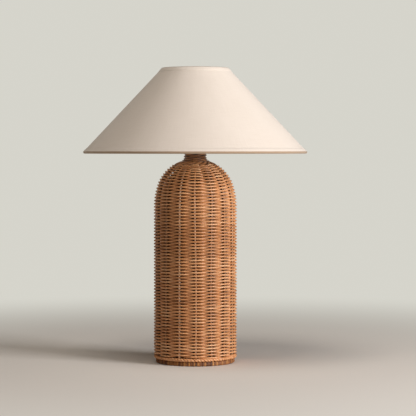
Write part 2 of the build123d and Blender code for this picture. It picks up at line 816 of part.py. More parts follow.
with BuildPart() as bulb_glass_part:
    with BuildSketch(Plane.XZ):
        with BuildLine():
            bulb_outline(seat_gap)
        make_face()
    revolve(axis=Axis.Z)
    with BuildSketch(Plane.XZ):
        with BuildLine():
            bulb_outline(seat_gap + bulb_glass)
        make_face()
    revolve(axis=Axis.Z, mode=Mode.SUBTRACT)
bulb_glass_part.part.label = "bulb_glass"
export_step(bulb_glass_part.part, "parts/bulb_glass.step")

# ---------------------------------------------------------------- shade

for ring_name, ring_r, ring_z in (
    ("bottom_wire_ring", ring_low_r, ring_low_z),
    ("top_wire_ring", ring_high_r, ring_high_z),
):
    with BuildPart() as shade_wire_ring:
        with BuildSketch(Plane.XZ):
            with Locations((ring_r, ring_z)):
                Circle(shade_wire_r)
        revolve(axis=Axis.Z)
    shade_wire_ring.part.label = ring_name
    export_step(shade_wire_ring.part, f"parts/{ring_name}.step")

for layer_name, inner_offset, outer_offset in (
    ("shade_lining", lining_inner, lining_outer),
    ("shade_linen", linen_inner, linen_outer),
):
    with BuildPart() as shade_layer:
        with BuildSketch(Plane.XZ):
            with BuildLine():
                Polyline(
                    on_shade(0, inner_offset),
                    on_shade(0, outer_offset),
                    on_shade(shade_line_length, outer_offset),
                    on_shade(shade_line_length, inner_offset),
                    close=True,
                )
            make_face()
        revolve(axis=Axis.Z)
    shade_layer.part.label = layer_name
    export_step(shade_layer.part, f"parts/{layer_name}.step")


with BuildPart() as fitter_ring:
    with BuildSketch(Plane.XY.offset(fitter_z)):
        Circle(fitter_outer_r)
        Circle(holder_shell_r + fitter_hole_gap, mode=Mode.SUBTRACT)
    extrude(amount=fitter_thickness)
    fillet(fitter_ring.edges().filter_by(GeomType.CIRCLE), fitter_thickness / 4)
fitter_ring.part.label = "fitter_ring"
export_step(fitter_ring.part, "parts/fitter_ring.step")

arm_foot_r = fitter_outer_r - arm_foot_inset
arm_top_r = ring_high_r - shade_wire_r - arm_wire_r
with BuildPart() as fitter_arm:
    with BuildLine(Plane.XZ) as arm_path:
        FilletPolyline(
            (arm_foot_r, fitter_top_z),
            (arm_foot_r, fitter_top_z + arm_foot_height),
            (arm_top_r, ring_high_z - hem_width - arm_wire_r),
            (arm_top_r, ring_high_z),
            radius=arm_bend_r,
        )
    with BuildSketch(Plane((arm_foot_r, 0, fitter_top_z))):
        Circle(arm_wire_r)
    sweep(path=arm_path.wire())

with BuildPart() as fitter_arms:
    with PolarLocations(0, arm_count, start_angle=arm_first_angle):
        add(fitter_arm.part)
fitter_arms.part.label = "fitter_arms"
export_step(fitter_arms.part, "parts/fitter_arms.step")


def hem_outline(fold_at, leg_to):
    """Section of a folded hem: its outer leg, its fold round the wire, its inner leg."""
    turn = 1 if leg_to < fold_at else -1
    outside = hem_outer_face + hem_thickness
    inside = hem_inner_face - hem_thickness
    Line(on_shade(leg_to, hem_outer_face), on_shade(leg_to, outside))
    Line(on_shade(leg_to, outside), on_shade(fold_at, outside))
    ThreePointArc(
        on_shade(fold_at, outside),
        on_shade(fold_at + turn * hem_outer_r, hem_fold_offset),
        on_shade(fold_at, inside),
    )
    Line(on_shade(fold_at, inside), on_shade(leg_to, inside))
    Line(on_shade(leg_to, inside), on_shade(leg_to, hem_inner_face))
    Line(on_shade(leg_to, hem_inner_face), on_shade(fold_at, hem_inner_face))
    ThreePointArc(
        on_shade(fold_at, hem_inner_face),
        on_shade(fold_at + turn * hem_fold_r, hem_fold_offset),
        on_shade(fold_at, hem_outer_face),
    )
    Line(on_shade(fold_at, hem_outer_face), on_shade(leg_to, hem_outer_face))


with BuildPart() as bottom_hem:
    with BuildSketch(Plane.XZ):
        with BuildLine():
            hem_outline(0.0, hem_width)
        make_face()
    revolve(axis=Axis.Z)
bottom_hem.part.label = "bottom_hem"
export_step(bottom_hem.part, "parts/bottom_hem.step")

with BuildPart() as top_hem:
    with BuildSketch(Plane.XZ):
        with BuildLine():
            hem_outline(shade_line_length, shade_line_length - hem_width)
        make_face()
    revolve(axis=Axis.Z)
    # the hem's inner leg is notched where an arm comes up to the wire ring
    with BuildSketch(Plane.XY.offset(ring_high_z - 2 * hem_width)):
        with PolarLocations((arm_top_r + arm_foot_r) / 2, arm_count, start_angle=arm_first_angle):
            Rectangle(arm_top_r - arm_foot_r, 2 * (arm_wire_r + thread_gap))
        with PolarLocations(arm_top_r, arm_count, start_angle=arm_first_angle):
            Circle(arm_wire_r + thread_gap)
    extrude(amount=2 * hem_width, mode=Mode.SUBTRACT)
top_hem.part.label = "top_hem"
export_step(top_hem.part, "parts/top_hem.step")
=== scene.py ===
"""Table lamp with a woven rattan column and a wide linen shade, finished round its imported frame.

Lengths are in metres. Z is up, the origin is the middle of the footprint and the front faces -Y.
"""

import math

import bpy
import numpy as np
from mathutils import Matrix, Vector


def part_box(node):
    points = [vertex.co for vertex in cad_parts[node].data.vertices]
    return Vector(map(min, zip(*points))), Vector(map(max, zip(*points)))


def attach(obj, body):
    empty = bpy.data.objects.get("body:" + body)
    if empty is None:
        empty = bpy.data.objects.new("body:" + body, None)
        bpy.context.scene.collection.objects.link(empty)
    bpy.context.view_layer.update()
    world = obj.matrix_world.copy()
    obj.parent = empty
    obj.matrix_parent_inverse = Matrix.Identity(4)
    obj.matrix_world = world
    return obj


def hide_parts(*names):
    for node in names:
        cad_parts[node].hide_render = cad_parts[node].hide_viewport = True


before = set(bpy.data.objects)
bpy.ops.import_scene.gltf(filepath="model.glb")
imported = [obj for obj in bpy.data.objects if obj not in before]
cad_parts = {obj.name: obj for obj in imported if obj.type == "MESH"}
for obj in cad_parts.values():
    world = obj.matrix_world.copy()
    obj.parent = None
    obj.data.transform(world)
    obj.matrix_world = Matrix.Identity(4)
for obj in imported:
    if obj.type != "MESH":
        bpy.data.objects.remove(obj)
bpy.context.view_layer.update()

# ------------------------------------------------------------------------------------ camera
# A long lens far back at the height of the shade's lower edge, tipped down two degrees, so that
# the shade's edge is a straight line and the foot shows only a little of its roundness.

eye = Vector((0.0, -3.37, 0.427))
aim = Vector((0.0256, 0.0, 0.3106))
camera = bpy.data.objects.new("camera", bpy.data.cameras.new("camera"))
bpy.context.scene.collection.objects.link(camera)
bpy.context.scene.camera = camera
camera.location = eye
camera.rotation_euler = (aim - eye).to_track_quat("-Z", "Y").to_euler()
camera.data.sensor_width = 36.0
camera.data.lens = 144.95

# ------------------------------------------------------------------------------------ studio
# A pale floor that runs out into a plain pale surround, a large soft light from the right and the
# front, a weaker one from above, and very weak light from everywhere else.

surround_colour = (0.67, 0.66, 0.60, 1.0)
dim_sky_colour = (1.0, 0.87, 0.73, 1.0)
dim_sky_strength = 0.05
floor_colour = (0.80, 0.75, 0.69, 1.0)
floor_roughness = 0.85
floor_r = 40.0
floor_fade_start = 0.35
floor_fade_end = 1.6

bpy.context.scene.view_settings.view_transform = "Standard"


def area_light(name, place, target, width, height, power, colour):
    light = bpy.data.objects.new(name, bpy.data.lights.new(name, "AREA"))
    light.data.shape = "RECTANGLE"
    light.data.size = width
    light.data.size_y = height
    light.data.energy = power
    light.data.color = colour
    light.location = place
    light.rotation_euler = (Vector(target) - Vector(place)).to_track_quat("-Z", "Y").to_euler()
    bpy.context.scene.collection.objects.link(light)


area_light("window_light", place=(2.5, -1.65, 0.9), target=(0.0, 0.0, 0.3),
           width=1.2, height=1.4, power=104.0, colour=(0.99, 0.985, 1.0))
area_light("top_light", place=(-0.5, -1.2, 3.2), target=(0.0, 0.0, 0.4),
           width=1.6, height=1.6, power=40.0, colour=(1.0, 0.94, 0.87))

world = bpy.data.worlds.new("surround")
bpy.context.scene.world = world
world.use_nodes = True
world_tree = world.node_tree
dim_sky = world_tree.nodes["Background"]
dim_sky.inputs["Color"].default_value = dim_sky_colour
dim_sky.inputs["Strength"].default_value = dim_sky_strength
seen_sky = world_tree.nodes.new("ShaderNodeBackground")
seen_sky.inputs["Color"].default_value = surround_colour
seen_or_dim = world_tree.nodes.new("ShaderNodeMixShader")
ray_kind = world_tree.nodes.new("ShaderNodeLightPath")
world_tree.links.new(ray_kind.outputs["Is Camera Ray"], seen_or_dim.inputs["Fac"])
world_tree.links.new(dim_sky.outputs["Background"], seen_or_dim.inputs[1])
world_tree.links.new(seen_sky.outputs["Background"], seen_or_dim.inputs[2])
world_tree.links.new(seen_or_dim.outputs["Shader"], world_tree.nodes["World Output"].inputs["Surface"])

floor_mesh = bpy.data.meshes.new("floor")
floor_mesh.from_pydata(
    [(x * floor_r, y * floor_r, 0.0) for x, y in ((-1, -1), (1, -1), (1, 1), (-1, 1))], [], [(0, 1, 2, 3)]
)
floor = bpy.data.objects.new("floor", floor_mesh)
bpy.context.scene.collection.objects.link(floor)

floor_finish = bpy.data.materials.new("pale_floor")
floor_finish.use_nodes = True
floor_tree = floor_finish.node_tree
floor_shader = floor_tree.nodes["Principled BSDF"]
floor_shader.inputs["Base Color"].default_value = floor_colour
floor_shader.inputs["Roughness"].default_value = floor_roughness
floor_glow = floor_tree.nodes.new("ShaderNodeEmission")
floor_glow.inputs["Color"].default_value = surround_colour
floor_place = floor_tree.nodes.new("ShaderNodeTexCoord")
floor_reach = floor_tree.nodes.new("ShaderNodeVectorMath")
floor_reach.operation = "LENGTH"
floor_fade = floor_tree.nodes.new("ShaderNodeMapRange")
floor_fade.interpolation_type = "SMOOTHSTEP"
floor_fade.inputs["From Min"].default_value = floor_fade_start
floor_fade.inputs["From Max"].default_value = floor_fade_end
floor_mix = floor_tree.nodes.new("ShaderNodeMixShader")
floor_tree.links.new(floor_place.outputs["Object"], floor_reach.inputs[0])
floor_tree.links.new(floor_reach.outputs["Value"], floor_fade.inputs["Value"])
floor_tree.links.new(floor_fade.outputs["Result"], floor_mix.inputs["Fac"])
floor_tree.links.new(floor_shader.outputs["BSDF"], floor_mix.inputs[1])
floor_tree.links.new(floor_glow.outputs["Emission"], floor_mix.inputs[2])
floor_tree.links.new(floor_mix.outputs["Shader"], floor_tree.nodes["Material Output"].inputs["Surface"])
floor_mesh.materials.append(floor_finish)

# ------------------------------------------------------------------------------------ weighted base
# A round of birch plywood closes the foot. A steel plate is screwed down on it to keep the lamp
# upright under its wide shade, and a needled felt disc is glued under it.


def shader_of(finish):
    return finish.node_tree.nodes["Principled BSDF"]


def new_finish(name, roughness, metallic=0.0):
    """A material, its node tree and its shader."""
    finish = bpy.data.materials.new(name)
    finish.use_nodes = True
    shader = shader_of(finish)
    shader.inputs["Roughness"].default_value = roughness
    shader.inputs["Metallic"].default_value = metallic
    return finish, finish.node_tree, shader


def place_on(tree, stretch=(1.0, 1.0, 1.0), map_name=None):
    """Coordinates to lay a pattern on: the object's own metres, or one of its maps, stretched."""
    mapping = tree.nodes.new("ShaderNodeMapping")
    mapping.inputs["Scale"].default_value = stretch
    if map_name:
        source = tree.nodes.new("ShaderNodeUVMap")
        source.uv_map = map_name
        tree.links.new(source.outputs["UV"], mapping.inputs["Vector"])
    else:
        source = tree.nodes.new("ShaderNodeTexCoord")
        tree.links.new(source.outputs["Object"], mapping.inputs["Vector"])
    return mapping.outputs["Vector"]


def grain(tree, place, scale, detail, coarseness=0.5):
    noise = tree.nodes.new("ShaderNodeTexNoise")
    noise.inputs["Scale"].default_value = scale
    noise.inputs["Detail"].default_value = detail
    noise.inputs["Roughness"].default_value = coarseness
    tree.links.new(place, noise.inputs["Vector"])
    return noise.outputs["Fac"]


def between(tree, factor, stops):
    """A colour ramp: stops are (position, (red, green, blue))."""
    ramp = tree.nodes.new("ShaderNodeValToRGB")
    while len(ramp.color_ramp.elements) < len(stops):
        ramp.color_ramp.elements.new(1.0)
    for element, (position, colour) in zip(ramp.color_ramp.elements, stops):
        element.position = position
        element.color = (*colour, 1.0)
    tree.links.new(factor, ramp.inputs["Fac"])
    return ramp.outputs["Color"]


def rough_by(tree, shader, factor, low, high):
    stretched = tree.nodes.new("ShaderNodeMapRange")
    stretched.inputs["To Min"].default_value = low
    stretched.inputs["To Max"].default_value = high
    tree.links.new(factor, stretched.inputs["Value"])
    tree.links.new(stretched.outputs["Result"], shader.inputs["Roughness"])


def raised_by(tree, shader, height, depth):
    bump = tree.nodes.new("ShaderNodeBump")
    bump.inputs["Distance"].default_value = depth
    tree.links.new(height, bump.inputs["Height"])
    tree.links.new(bump.outputs["Normal"], shader.inputs["Normal"])


def grained_finish(name, figure, dark, light, rough, depth=0.0, metallic=0.0,
                   stretch=(1.0, 1.0, 1.0), reach=(0.3, 0.7)):
    """A finish whose colour, roughness and relief follow one fine grain.

    figure is the grain's scale, detail and coarseness, and reach is where in it the dark and the
    light colour lie. rough is the lowest and the highest roughness, and depth that of the relief.
    """
    finish, tree, shader = new_finish(name, sum(rough) / 2, metallic)
    pattern = grain(tree, place_on(tree, stretch), *figure)
    tree.links.new(between(tree, pattern, list(zip(reach, (dark, light)))), shader.inputs["Base Color"])
    if rough[1] > rough[0]:
        rough_by(tree, shader, pattern, *rough)
    if depth:
        raised_by(tree, shader, pattern, depth)
    return finish


def dress(finish, *names):
    """Gives CAD nodes their finish."""
    for name in names:
        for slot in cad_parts[name].material_slots:
            slot.material = finish


felt_finish = grained_finish(
    "needled_felt", figure=(900.0, 5.0, 0.7), dark=(0.018, 0.016, 0.014), light=(0.05, 0.045, 0.04),
    rough=(0.95, 0.95), depth=0.0004)
shader_of(felt_finish).inputs["Sheen Weight"].default_value = 0.3
dress(felt_finish, "felt_pad")

plywood_finish = grained_finish(
    "birch_plywood", figure=(24.0, 6.0, 0.6), dark=(0.34, 0.20, 0.10), light=(0.62, 0.44, 0.26),
    rough=(0.5, 0.7), depth=0.0002, stretch=(1.0, 9.0, 60.0), reach=(0.25, 0.75))
dress(plywood_finish, "base_board")

ballast_finish = grained_finish(
    "black_steel_plate", figure=(90.0, 6.0, 0.65), dark=(0.045, 0.046, 0.05), light=(0.10, 0.095, 0.09),
    rough=(0.35, 0.65), depth=0.0001, metallic=0.9, reach=(0.35, 0.7))
dress(ballast_finish, "ballast_plate")

# ------------------------------------------------------------------------------------ tube and fixings
# A threaded steel tube carries the cable and clamps the lamp together from the board up to the
# lampholder. Its nuts, washers and the ballast's screws are bright zinc plate.

zinc_finish = grained_finish(
    "zinc_plate", figure=(420.0, 4.0, 0.6), dark=(0.46, 0.46, 0.44), light=(0.64, 0.63, 0.60),
    rough=(0.22, 0.42), depth=0.00005, metallic=1.0)
dress(zinc_finish, "lower_nut", "lower_washer", "ballast_nut", "ballast_washer", "frame_nut")
dress(zinc_finish, "ballast_screws")

tube_thread_pitch = 0.001


def bands(tree, direction, pitch, map_name=None):
    """Even bands one pitch apart across a direction."""
    wave = tree.nodes.new("ShaderNodeTexWave")
    wave.bands_direction = direction
    wave.inputs["Scale"].default_value = math.tau / 20.0 / pitch  # its phase is 20 x scale x distance
    tree.links.new(place_on(tree, map_name=map_name), wave.inputs["Vector"])
    return wave.outputs["Fac"]


def threaded_metal(name, pitch, dark, light, roughness, depth):
    """Bright metal with a thread rolled into it, dark in the grooves."""
    finish, tree, shader = new_finish(name, roughness, 1.0)
    thread = bands(tree, "Z", pitch)
    tree.links.new(between(tree, thread, [(0.0, dark), (1.0, light)]), shader.inputs["Base Color"])
    raised_by(tree, shader, thread, depth)
    return finish


tube_finish = threaded_metal(
    "threaded_tube", tube_thread_pitch, (0.30, 0.29, 0.27), (0.62, 0.61, 0.58),
    roughness=0.35, depth=0.0004)
dress(tube_finish, "centre_tube")

# ------------------------------------------------------------------------------------ wire frame
# Four bent legs, a hoop and a top plate of welded steel hold the column in shape from inside.
# They are dipped in thin brown enamel; a near-black sleeve round them paints shade into the weave's holes.

enamel_finish = grained_finish(
    "brown_enamel", figure=(350.0, 2.0, 0.5), dark=(0.045, 0.025, 0.014), light=(0.07, 0.04, 0.022),
    rough=(0.32, 0.5), depth=0.0001)
dress(enamel_finish, "frame_legs", "frame_hoop", "frame_top_plate")

# The sleeve's near-black colour is painted shade for the dark inside of the column.
painted_shade_sleeve_finish = grained_finish(
    "painted_shade_sleeve", figure=(180.0, 6.0, 0.65), dark=(0.012, 0.008, 0.005), light=(0.028, 0.018, 0.012),
    rough=(0.8, 0.8), depth=0.0001)
dress(painted_shade_sleeve_finish, "inner_sleeve")

# ------------------------------------------------------------------------------------ stakes
# Sixteen 4 mm cane stakes rise from the border, follow the dome and draw together in eight pairs
# in the neck. The weaver pulls each one a little out of true as the rows go up.

reed_r = 0.0015
stake_r = 0.002
stake_count = 16
weave_reach = stake_r + 2 * reed_r
foot_of_wall, top_of_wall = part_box("wall_weave")
wall_r = top_of_wall.x - weave_reach
wall_z = foot_of_wall.z
wall_height = top_of_wall.z - wall_z
neck_top_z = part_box("stakes")[1].z
shoulder_arc_r = 0.136
shoulder_turn = math.radians(18.0)
crown_turn = math.radians(72.0)
neck_line_r = 0.018
neck_fillet_r = 0.0112
collar_turn = math.radians(52.8)

crown_arc_r = (
    wall_r
    - neck_line_r
    - shoulder_arc_r * (1 - math.cos(shoulder_turn))
    - neck_fillet_r * (1 - math.cos(crown_turn))
) / (math.cos(shoulder_turn) - math.cos(crown_turn))
crown_centre_r = wall_r - shoulder_arc_r + (shoulder_arc_r - crown_arc_r) * math.cos(shoulder_turn)
crown_centre_z = top_of_wall.z + (shoulder_arc_r - crown_arc_r) * math.sin(shoulder_turn)
fillet_centre_z = crown_centre_z + (crown_arc_r + neck_fillet_r) * math.sin(crown_turn)

# how far up the stakes' line each stretch of it starts
shoulder_start = wall_height
crown_start = shoulder_start + shoulder_arc_r * shoulder_turn
collar_start = crown_start + crown_arc_r * (collar_turn - shoulder_turn)
neck_start = crown_start + crown_arc_r * (crown_turn - shoulder_turn)
straight_start = neck_start + neck_fillet_r * crown_turn
line_end = straight_start + neck_top_z - fillet_centre_z


def column_line(up):
    """The stakes' line at distances up along it: radius, height, and outward normal in those two."""
    shoulder = (up - shoulder_start) / shoulder_arc_r
    crown = shoulder_turn + (up - crown_start) / crown_arc_r
    fillet = crown_turn - (up - neck_start) / neck_fillet_r
    zero = np.zeros_like(up)
    turn = np.select(
        [up < shoulder_start, up < crown_start, up < neck_start, up < straight_start],
        [zero, shoulder, crown, fillet], zero)
    radius = np.select(
        [up < shoulder_start, up < crown_start, up < neck_start, up < straight_start],
        [zero + wall_r,
         wall_r - shoulder_arc_r * (1 - np.cos(shoulder)),
         crown_centre_r + crown_arc_r * np.cos(crown),
         neck_line_r + neck_fillet_r * (1 - np.cos(fillet))],
        neck_line_r)
    height = np.select(
        [up < shoulder_start, up < crown_start, up < neck_start, up < straight_start],
        [wall_z + up,
         top_of_wall.z + shoulder_arc_r * np.sin(shoulder),
         crown_centre_z + crown_arc_r * np.sin(crown),
         fillet_centre_z - neck_fillet_r * np.sin(fillet)],
        fillet_centre_z + up - straight_start)
    return radius, height, np.cos(turn), np.sin(turn)


def on_column(angle, up, out):
    """Places set out from the stakes' line at these angles, with the outward normals there."""
    radius, height, lean_r, lean_z = column_line(up)
    around = np.stack([np.cos(angle), np.sin(angle)], axis=-1)
    normal = np.concatenate([around * lean_r[:, None], lean_z[:, None]], axis=-1)
    middle = np.concatenate([around * radius[:, None], height[:, None]], axis=-1)
    return middle + normal * out[:, None], normal


def eased(value, start, end):
    """0 before start, 1 after end, and a smooth rise between."""
    share = np.clip((value - start) / (end - start), 0.0, 1.0)
    return share * share * (3 - 2 * share)


stake_wander = ((0.033, 2, 0.0, 0.0), (0.012, 5, 11.0, 1.3), (0.010, 7, -16.0, 4.0))


def stake_angle(stake, up):
    """Where a stake stands round the column, with the way it wanders; stake 0 faces the front."""
    turn = math.tau * stake / stake_count
    wander = sum(reach * np.sin(waves * turn + climb * up + start)
                 for reach, waves, climb, start in stake_wander)
    return turn - math.pi / 2 + wander * (1 - eased(up, crown_start, collar_start))


def tube_rings(path, outward, radius, sides):
    """Rings of corners round a path; outward is near the normal that the path bends under."""
    along = np.gradient(path, axis=0)
    along /= np.linalg.norm(along, axis=1, keepdims=True)
    across = np.cross(along, outward)
    across /= np.linalg.norm(across, axis=1, keepdims=True)
    upward = np.cross(across, along)
    turn = np.arange(sides) * math.tau / sides
    wide = np.cos(turn)[None, :, None] * upward[:, None, :]
    tall = np.sin(turn)[None, :, None] * across[:, None, :]
    size = np.broadcast_to(radius, len(path))[:, None, None]
    return path[:, None, :] + size * (wide + tall)

def skin(rings, count, closed):
    """Four-sided faces between rings of corners; closed joins the last ring to the first."""
    ring = np.arange(rings if closed else rings - 1)[:, None]
    spot = np.arange(count)[None, :]
    ring_after = (ring + 1) % rings
    spot_after = (spot + 1) % count
    return np.stack([ring * count + spot, ring_after * count + spot,
                     ring_after * count + spot_after, ring * count + spot_after], axis=-1).reshape(-1, 4)


def spread(along, around):
    """Map places for the corners of skin's faces, from those of its rings and of the spots round them."""
    start, low = np.meshgrid(along[:-1], around[:-1], indexing="ij")
    end, high = np.meshgrid(along[1:], around[1:], indexing="ij")
    return np.stack([np.stack([start, low], -1), np.stack([end, low], -1),
                     np.stack([end, high], -1), np.stack([start, high], -1)], axis=2).reshape(-1, 2)


def made_piece(name, corners, faces, maps, values):
    """An object from its corners and faces, with its maps and its values at the corners, by name."""
    mesh = bpy.data.meshes.new(name)
    mesh.from_pydata(corners.reshape(-1, 3).tolist(), [], faces)
    for map_name, spots in maps.items():
        layer = mesh.uv_layers.new(name=map_name)
        layer.uv.foreach_set("vector", spots.astype(np.float32).ravel())
    for value_name, at_corners in values.items():
        layer = mesh.attributes.new(value_name, "FLOAT", "POINT")
        layer.data.foreach_set("value", at_corners.astype(np.float32).ravel())
    mesh.shade_smooth()
    piece = bpy.data.objects.new(name, mesh)
    bpy.context.scene.collection.objects.link(piece)
    return piece


tone_shift = 7.0  # how far along the grain's pattern a tone of 1 moves a strand
map_margin = 0.01
stripe_margin = 0.08
cap_spot = 0.001


def strand_piece(name, strands, sides, rows_on_sheet=1):
    """One object of many round strands. Each strand is (path, outward, radius, tone, inside).

    The map reed_map holds metres along and the share round each strand, the attribute tone holds its
    tone and inside the painted shade it gets, which for a weaver grows with how far in behind the stakes
    it lies, and the map OFBake lays the strands side by side in stripes, each strand folded over rows_on_sheet
    of them.
    """
    corners, faces, reed_map, sheet_map, tones, painted_shade_amounts = [], [], [], [], [], []
    first = 0
    longest = max(np.linalg.norm(np.diff(path, axis=0), axis=1).sum() for path, *_ in strands)
    stripes = len(strands) * rows_on_sheet
    for number, (path, outward, radius, tone, inside) in enumerate(strands):
        count = len(path)
        steps = np.linalg.norm(np.diff(path, axis=0), axis=1)
        along = np.concatenate([[0.0], np.cumsum(steps)])
        corners.append(tube_rings(path, outward, radius, sides).reshape(-1, 3))
        faces += (skin(count, sides, closed=False) + first).tolist()
        faces.append((first + np.arange(sides)).tolist())
        faces.append((first + (count - 1) * sides + np.arange(sides)[::-1]).tolist())
        spots = spread(along, np.arange(sides + 1) / sides)
        cap = np.zeros((2 * sides, 2))
        cap[:, 1] = 0.5
        reed_map.append(np.concatenate([spots + [tone * tone_shift, 0.0], cap]))
        share = spots[:, 0] / longest * rows_on_sheet
        share_of_face = np.repeat(share.reshape(-1, 4).min(axis=1), 4)
        stripe = np.minimum(np.floor(share_of_face + 1e-9), rows_on_sheet - 1)
        across = stripe_margin + (1 - 2 * stripe_margin) * spots[:, 1]
        flat = np.stack([
            np.clip(share - stripe, 0.0, 1.0) * (1 - 2 * map_margin) + map_margin,
            (number * rows_on_sheet + stripe + across) / stripes], axis=-1)
        sheet_map.append(np.concatenate([flat, np.full((2 * sides, 2), cap_spot)]))
        tones.append(np.full(count * sides, tone))
        painted_shade_amounts.append(np.repeat(np.broadcast_to(inside, count), sides))
        first += count * sides
    return made_piece(
        name, np.concatenate(corners), faces,
        {"OFBake": np.concatenate(sheet_map), "reed_map": np.concatenate(reed_map)},
        {"tone": np.concatenate(tones), "inside": np.concatenate(painted_shade_amounts)})


def sum_of(tree, first, second, share=1.0):
    """first + share * second."""
    add = tree.nodes.new("ShaderNodeMath")
    add.operation = "MULTIPLY_ADD"
    add.inputs[1].default_value = share
    tree.links.new(second, add.inputs[0])
    tree.links.new(first, add.inputs[2])
    return add.outputs["Value"]


def tinted(tree, colour, tint):
    """One colour multiplied by another."""
    blend = tree.nodes.new("ShaderNodeMix")
    blend.data_type = "RGBA"
    blend.blend_type = "MULTIPLY"
    blend.inputs["Factor"].default_value = 1.0
    tree.links.new(colour, blend.inputs["A"])
    tree.links.new(tint, blend.inputs["B"])
    return blend.outputs["Result"]


def corner_value(tree, value_name):
    source = tree.nodes.new("ShaderNodeAttribute")
    source.attribute_name = value_name
    return source.outputs["Fac"]


plain = (1.0, 1.0, 1.0)
fleck_tint = (0.55, 0.46, 0.38)
# Painted shade: the colour multiplied in where a strand's inside value is 1, in recesses and under tucked
# ends.
painted_shade_tint = (0.045, 0.028, 0.018)


def cane_finish(name, dark, middle, light, roughness, gloss):
    """Lacquered cane: long fibres, a slow change of tone, dark flecks, painted shade by the inside value, and
    a thin satin coat.
    """
    finish, tree, shader = new_finish(name, roughness)
    fibres = grain(tree, place_on(tree, (90.0, 5.0, 1.0), "reed_map"), 1.0, 4.0, 0.6)
    slow = grain(tree, place_on(tree, (9.0, 0.6, 1.0), "reed_map"), 1.0, 2.0)
    flecks = grain(tree, place_on(tree, (700.0, 6.0, 1.0), "reed_map"), 1.0, 1.0)
    mixed = sum_of(tree, sum_of(tree, fibres, slow, 1.1), corner_value(tree, "tone"), 0.55)
    centred = tree.nodes.new("ShaderNodeMapRange")
    centred.inputs["From Min"].default_value = 0.75
    centred.inputs["From Max"].default_value = 1.95
    tree.links.new(mixed, centred.inputs["Value"])
    wood = between(tree, centred.outputs["Result"], [(0.0, dark), (0.5, middle), (1.0, light)])
    flecked = tinted(tree, wood, between(tree, flecks, [(0.66, plain), (0.74, fleck_tint)]))
    # Painted shade: the colour darkens towards the shade tint as the inside value rises.
    shade = between(tree, corner_value(tree, "inside"), [(0.0, plain), (1.0, painted_shade_tint)])
    tree.links.new(tinted(tree, flecked, shade), shader.inputs["Base Color"])
    rough_by(tree, shader, fibres, roughness - 0.1, roughness + 0.12)
    raised_by(tree, shader, sum_of(tree, fibres, flecks, 0.4), 0.00012)
    shader.inputs["Coat Weight"].default_value = gloss
    shader.inputs["Coat Roughness"].default_value = 0.3
    return finish


stake_finish = cane_finish(
    "cane_stakes", dark=(0.16, 0.06, 0.022), middle=(0.42, 0.20, 0.085), light=(0.74, 0.50, 0.32),
    roughness=0.42, gloss=0.25)
stake_step = 0.004
stake_sides = 10
stake_tone = 0.5
stake_tone_swing = 0.7
stakes_per_swing = 5
pair_half_angle = math.radians(6.5)
random = np.random.default_rng(7)

stake_strands = []
for stake in range(stake_count):
    up = np.arange(0.0, line_end, stake_step)
    pair_side = -1 if stake % 2 == 0 else 1
    paired = -math.pi / 2 + math.tau * (stake // 2) / (stake_count // 2) + pair_side * pair_half_angle
    drawn_in = eased(up, collar_start, neck_start)
    angle = stake_angle(stake, up) * (1 - drawn_in) + paired * drawn_in
    path, outward = on_column(angle, up, np.zeros_like(up))
    from_front = (stake + stake_count // 2) % stake_count - stake_count // 2
    tone = stake_tone + stake_tone_swing * math.cos(math.tau * (from_front + 1) / stakes_per_swing)
    stake_strands.append((path, outward, stake_r, tone, 0.0))
stakes = strand_piece("cane_stakes", stake_strands, stake_sides)
stakes.data.materials.append(stake_finish)
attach(stakes, "root")
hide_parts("stakes")

# ------------------------------------------------------------------------------------ woven wall and dome
# Two lengths of 3 mm round reed chase each other up the stakes in plain weave: where one passes in
# front of a stake the other passes behind it, and they change places at the next stake.

row_pitch = 0.00307
row_sag = 0.00022
row_end = collar_start + 0.0075
first_up = -0.003
steps_per_stake = 12
reed_sides = 10
reed_length_in_stakes = 84
reed_length_shares = (0.42, 0.55)
reed_tones = (0.25, 0.75)
splice = 0.6  # stake spaces that a new reed lies further in over, where it starts behind a stake
splice_depth = 1.6 * reed_r
front_swell = 0.12
girth_change = 0.03
weave_dive = 1.8  # 1 is an even wave; more holds a reed out in front and dives steeply behind the stake
shade_falloff = 1.3
reed_finish = cane_finish(
    "smoked_reed", dark=(0.23, 0.07, 0.018), middle=(0.64, 0.28, 0.105), light=(0.94, 0.60, 0.34),
    roughness=0.42, gloss=0.25)


def weaver(start, end, lead, side):
    """One reed from stake start to stake end; side is 1 where it is in front of even stakes."""
    stake = np.linspace(start, end, int(round((end - start) * steps_per_stake)) + 1)
    turn = math.tau * stake / stake_count
    up = first_up + row_pitch * (2 * stake / stake_count + lead)
    sag = row_sag * (np.sin(3 * turn + 40.0 * up) + 0.7 * np.sin(5 * turn - 63.0 * up))
    wave = 1 - 2 * (0.5 - 0.5 * side * np.cos(math.pi * stake)) ** weave_dive
    out = (stake_r + reed_r) * wave
    out = out - splice_depth * (1 - eased(stake, start, start + splice))
    path, outward = on_column(stake_angle(stake, up), up + sag, out)
    radius = reed_r * (1 + front_swell * wave**2 + girth_change * np.sin(1.7 * stake + start))
    # The last value is painted shade, strongest where the reed passes behind a stake.
    return path, outward, radius, np.clip(-wave, 0.0, 1.0) ** shade_falloff


def stake_behind(up, lead, side):
    """The stake nearest to a place up the line that this weaver passes behind."""
    stake = stake_count / 2 * ((up - first_up) / row_pitch - lead)
    parity = 1 if side == 1 else 0
    return max(parity, 2 * round((stake - parity) / 2) + parity)


